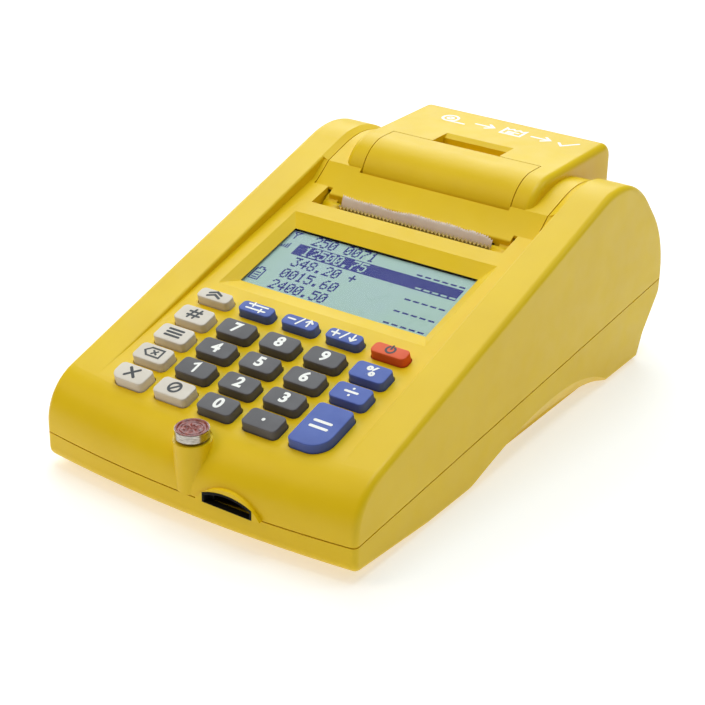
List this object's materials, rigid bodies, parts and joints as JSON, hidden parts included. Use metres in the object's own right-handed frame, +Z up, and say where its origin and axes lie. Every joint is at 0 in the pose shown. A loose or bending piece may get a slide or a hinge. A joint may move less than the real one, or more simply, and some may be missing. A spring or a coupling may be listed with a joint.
{
  "type": "ticket register",
  "caption": "Portable ticket register: sloping key panel with screen, receipt printer under a rear-hinged cover with release lever, sealed front and side grips.",
  "frame": {"origin": "centre of the footprint's bounding box, on the surface that the feet stand on", "axes": "+X to the right of a user facing the keys, +Y from the front with the seal to the rear, +Z up"},
  "size_m": [0.112, 0.1882, 0.0713],
  "materials": {
    "aluminium": "satin",
    "battery_sleeve": "gloss",
    "bright_steel": "bright",
    "bush_plastic": "satin",
    "card": "matte",
    "case_yellow": "satin",
    "circuit_board": "satin",
    "clear_plastic": "clear",
    "connector_black": "gloss",
    "cup_metal": "bright",
    "epoxy_black": "satin",
    "foot_rubber": "matte",
    "frame_steel": "zinc plated",
    "gear_plastic": "satin",
    "inner_plastic": "matte",
    "key_beige": "matte",
    "key_blue": "matte",
    "key_grey": "matte",
    "key_orange": "matte",
    "key_rubber": "matte",
    "lcd": "satin",
    "paper": "matte",
    "platen_rubber": "matte",
    "seal_wax": "gloss"
  },
  "bodies": {
    "case": {"battery_pack": "battery_sleeve", "case_screws": "bright_steel", "customer_display_module": "lcd", "customer_display_window": "clear_plastic", "fiscal_memory": "epoxy_black", "hinge_pins": "bright_steel", "keypad_board": "circuit_board", "keypad_mat": "key_rubber", "lcd_module": "lcd", "lcd_window": "clear_plastic", "lower_case": "case_yellow", "main_board": "circuit_board", "paper_bucket": "inner_plastic", "paper_tail": "paper", "port_connector": "connector_black", "print_head": "aluminium", "printer_frame": "frame_steel", "rubber_feet": "foot_rubber", "seal_cup": "cup_metal", "seal_screw": "bright_steel", "seal_wax": "seal_wax", "stepper_motor": "bright_steel", "tear_bar": "bright_steel", "upper_case": "case_yellow"},
    "cover": {"printer_cover": "case_yellow", "lever_pivot_pins": "bright_steel", "platen_bushes": "bush_plastic", "lever_springs": "bright_steel"},
    "lever": {"release_lever": "case_yellow"},
    "platen": {"platen_shaft": "bright_steel", "platen_roller": "platen_rubber", "platen_gear": "gear_plastic"},
    "idler": {"idler_gear": "gear_plastic"},
    "pinion": {"motor_pinion": "gear_plastic"},
    "roll": {"paper_roll": "paper", "roll_core": "card"},
    "button_feed": {"key_feed": "key_beige"},
    "button_function": {"key_function": "key_blue"},
    "button_minus": {"key_minus": "key_blue"},
    "button_plus": {"key_plus": "key_blue"},
    "button_mode": {"key_mode": "key_orange"},
    "button_lookup": {"key_lookup": "key_beige"},
    "button_7": {"key_7": "key_grey"},
    "button_8": {"key_8": "key_grey"},
    "button_9": {"key_9": "key_grey"},
    "button_pay": {"key_pay": "key_blue"},
    "button_department": {"key_department": "key_beige"},
    "button_4": {"key_4": "key_grey"},
    "button_5": {"key_5": "key_grey"},
    "button_6": {"key_6": "key_grey"},
    "button_subtotal": {"key_subtotal": "key_blue"},
    "button_void": {"key_void": "key_beige"},
    "button_1": {"key_1": "key_grey"},
    "button_2": {"key_2": "key_grey"},
    "button_3": {"key_3": "key_grey"},
    "button_quantity": {"key_quantity": "key_beige"},
    "button_clear": {"key_clear": "key_beige"},
    "button_0": {"key_0": "key_grey"},
    "button_dot": {"key_dot": "key_grey"},
    "button_total": {"key_total": "key_blue"}
  },
  "joints": [
    {"name": "cover_hinge", "type": "hinge", "parent": "case", "child": "cover", "pos_m": [0, 0.0857, 0.046], "axis": [-1, 0, 0], "range_deg": [0, 90]},
    {"name": "lever_pivot", "type": "hinge", "parent": "cover", "child": "lever", "pos_m": [0, 0.0418, 0.0602], "axis": [1, 0, 0], "range_deg": [0, 15], "stiffness_Nm_per_rad": 0.2},
    {"name": "platen_spin", "type": "hinge", "parent": "cover", "child": "platen", "pos_m": [0, 0.03, 0.049], "axis": [1, 0, 0], "continuous": true},
    {"name": "idler_spin", "type": "hinge", "parent": "case", "child": "idler", "pos_m": [0, 0.03, 0.0364], "axis": [1, 0, 0], "continuous": true},
    {"name": "pinion_spin", "type": "hinge", "parent": "case", "child": "pinion", "pos_m": [0, 0.02065, 0.031], "axis": [1, 0, 0], "continuous": true},
    {"name": "roll_spin", "type": "hinge", "parent": "case", "child": "roll", "pos_m": [0, 0.0597, 0.0425], "axis": [1, 0, 0], "continuous": true},
    {"name": "key_feed_press", "type": "slide", "parent": "case", "child": "button_feed", "axis": [0, 0.2605, -0.9655], "range_m": [0, 0.0012], "stiffness_N_per_m": 600},
    {"name": "key_function_press", "type": "slide", "parent": "case", "child": "button_function", "axis": [0, 0.2605, -0.9655], "range_m": [0, 0.0012], "stiffness_N_per_m": 600},
    {"name": "key_minus_press", "type": "slide", "parent": "case", "child": "button_minus", "axis": [0, 0.2605, -0.9655], "range_m": [0, 0.0012], "stiffness_N_per_m": 600},
    {"name": "key_plus_press", "type": "slide", "parent": "case", "child": "button_plus", "axis": [0, 0.2605, -0.9655], "range_m": [0, 0.0012], "stiffness_N_per_m": 600},
    {"name": "key_mode_press", "type": "slide", "parent": "case", "child": "button_mode", "axis": [0, 0.2605, -0.9655], "range_m": [0, 0.0012], "stiffness_N_per_m": 600},
    {"name": "key_lookup_press", "type": "slide", "parent": "case", "child": "button_lookup", "axis": [0, 0.2605, -0.9655], "range_m": [0, 0.0012], "stiffness_N_per_m": 600},
    {"name": "key_7_press", "type": "slide", "parent": "case", "child": "button_7", "axis": [0, 0.2605, -0.9655], "range_m": [0, 0.0012], "stiffness_N_per_m": 600},
    {"name": "key_8_press", "type": "slide", "parent": "case", "child": "button_8", "axis": [0, 0.2605, -0.9655], "range_m": [0, 0.0012], "stiffness_N_per_m": 600},
    {"name": "key_9_press", "type": "slide", "parent": "case", "child": "button_9", "axis": [0, 0.2605, -0.9655], "range_m": [0, 0.0012], "stiffness_N_per_m": 600},
    {"name": "key_pay_press", "type": "slide", "parent": "case", "child": "button_pay", "axis": [0, 0.2605, -0.9655], "range_m": [0, 0.0012], "stiffness_N_per_m": 600},
    {"name": "key_department_press", "type": "slide", "parent": "case", "child": "button_department", "axis": [0, 0.2605, -0.9655], "range_m": [0, 0.0012], "stiffness_N_per_m": 600},
    {"name": "key_4_press", "type": "slide", "parent": "case", "child": "button_4", "axis": [0, 0.2605, -0.9655], "range_m": [0, 0.0012], "stiffness_N_per_m": 600},
    {"name": "key_5_press", "type": "slide", "parent": "case", "child": "button_5", "axis": [0, 0.2605, -0.9655], "range_m": [0, 0.0012], "stiffness_N_per_m": 600},
    {"name": "key_6_press", "type": "slide", "parent": "case", "child": "button_6", "axis": [0, 0.2605, -0.9655], "range_m": [0, 0.0012], "stiffness_N_per_m": 600},
    {"name": "key_subtotal_press", "type": "slide", "parent": "case", "child": "button_subtotal", "axis": [0, 0.2605, -0.9655], "range_m": [0, 0.0012], "stiffness_N_per_m": 600},
    {"name": "key_void_press", "type": "slide", "parent": "case", "child": "button_void", "axis": [0, 0.2605, -0.9655], "range_m": [0, 0.0012], "stiffness_N_per_m": 600},
    {"name": "key_1_press", "type": "slide", "parent": "case", "child": "button_1", "axis": [0, 0.2605, -0.9655], "range_m": [0, 0.0012], "stiffness_N_per_m": 600},
    {"name": "key_2_press", "type": "slide", "parent": "case", "child": "button_2", "axis": [0, 0.2605, -0.9655], "range_m": [0, 0.0012], "stiffness_N_per_m": 600},
    {"name": "key_3_press", "type": "slide", "parent": "case", "child": "button_3", "axis": [0, 0.2605, -0.9655], "range_m": [0, 0.0012], "stiffness_N_per_m": 600},
    {"name": "key_quantity_press", "type": "slide", "parent": "case", "child": "button_quantity", "axis": [0, 0.2605, -0.9655], "range_m": [0, 0.0012], "stiffness_N_per_m": 600},
    {"name": "key_clear_press", "type": "slide", "parent": "case", "child": "button_clear", "axis": [0, 0.2605, -0.9655], "range_m": [0, 0.0012], "stiffness_N_per_m": 600},
    {"name": "key_0_press", "type": "slide", "parent": "case", "child": "button_0", "axis": [0, 0.2605, -0.9655], "range_m": [0, 0.0012], "stiffness_N_per_m": 600},
    {"name": "key_dot_press", "type": "slide", "parent": "case", "child": "button_dot", "axis": [0, 0.2605, -0.9655], "range_m": [0, 0.0012], "stiffness_N_per_m": 600},
    {"name": "key_total_press", "type": "slide", "parent": "case", "child": "button_total", "axis": [0, 0.2605, -0.9655], "range_m": [0, 0.0012], "stiffness_N_per_m": 600}
  ],
  "couplings": [
    {"joint": "idler_spin", "follows": "platen_spin", "ratio": -0.75},
    {"joint": "pinion_spin", "follows": "platen_spin", "ratio": 1.5}
  ]
}
